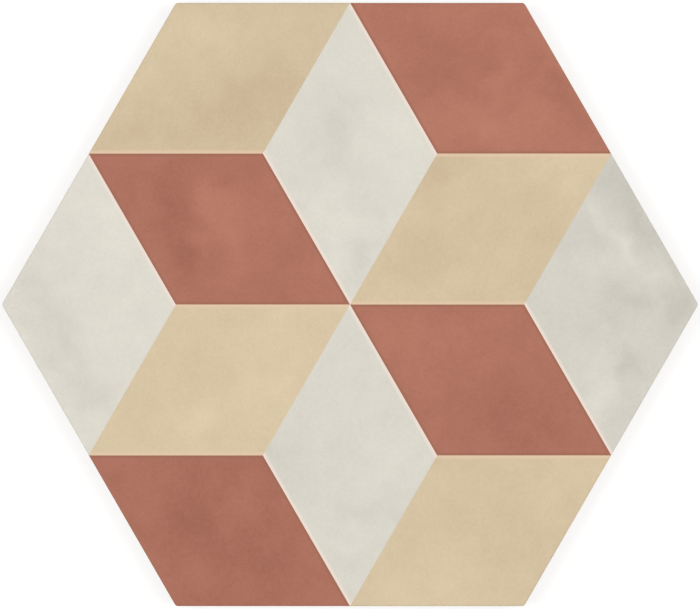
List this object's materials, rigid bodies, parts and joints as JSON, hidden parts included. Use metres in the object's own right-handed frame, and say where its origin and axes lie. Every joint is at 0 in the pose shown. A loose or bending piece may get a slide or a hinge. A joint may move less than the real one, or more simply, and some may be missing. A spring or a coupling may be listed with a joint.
{
  "type": "hexagon floor tile",
  "caption": "Flat hexagonal porcelain floor tile with a tumbling-block print in cream, terracotta and pale grey, an eased face edge and a keyed back.",
  "frame": {"origin": "centre of the bedding plane, under the middle of the tile", "axes": "+Z from the keyed back to the glazed face, +X through two opposite corners, +Y square to two opposite sides"},
  "size_m": [0.2652, 0.23, 0.009],
  "materials": {
    "fired_porcelain": "matte"
  },
  "bodies": {
    "root": {"hexagon_tile": "fired_porcelain"}
  },
  "joints": []
}
